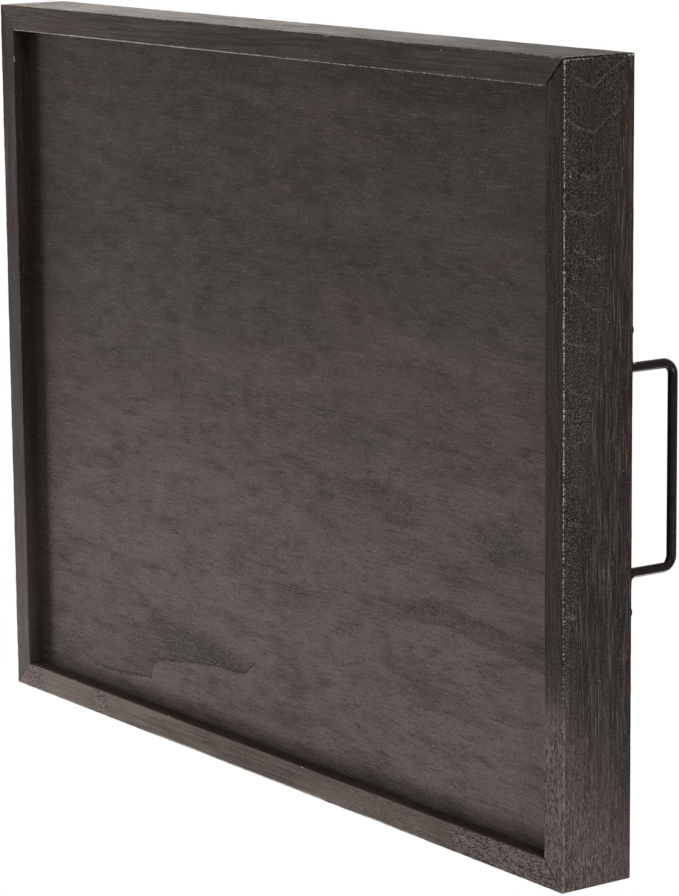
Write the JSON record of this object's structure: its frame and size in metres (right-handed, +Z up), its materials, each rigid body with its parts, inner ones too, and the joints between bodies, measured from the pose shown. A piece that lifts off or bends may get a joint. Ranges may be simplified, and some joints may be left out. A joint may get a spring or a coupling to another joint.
{
  "type": "serving tray",
  "caption": "Rectangular wooden serving tray: mitred rails round a recessed plywood base, with a bent-rod bar handle screwed to the rim at each short end.",
  "frame": {"origin": "middle of the tray's outline, on the surface that it stands on", "axes": "+Z up out of the tray's open side, +X along its length towards the right handle, +Y across it"},
  "size_m": [0.4572, 0.3556, 0.0669],
  "materials": {
    "stained_rail": "matte charcoal-brown stain on solid wood, worn pale on the arrises",
    "stained_panel": "matte charcoal-brown stain on rotary-cut plywood",
    "black_rod": "satin black coat on steel rod",
    "black_screw": "blackened steel",
    "bright_steel": "bright wire"
  },
  "bodies": {
    "root": {"long_rail_front": "stained_rail", "long_rail_back": "stained_rail", "short_rail_left": "stained_rail", "short_rail_right": "stained_rail", "base_panel": "stained_panel", "handle_left": "black_rod", "handle_right": "black_rod", "handle_screw_left_front": "black_screw", "handle_screw_left_back": "black_screw", "handle_screw_right_front": "black_screw", "handle_screw_right_back": "black_screw", "corner_brad_front_left_low": "bright_steel", "corner_brad_front_left_high": "bright_steel", "corner_brad_front_right_low": "bright_steel", "corner_brad_front_right_high": "bright_steel", "corner_brad_back_left_low": "bright_steel", "corner_brad_back_left_high": "bright_steel", "corner_brad_back_right_low": "bright_steel", "corner_brad_back_right_high": "bright_steel"}
  },
  "joints": []
}
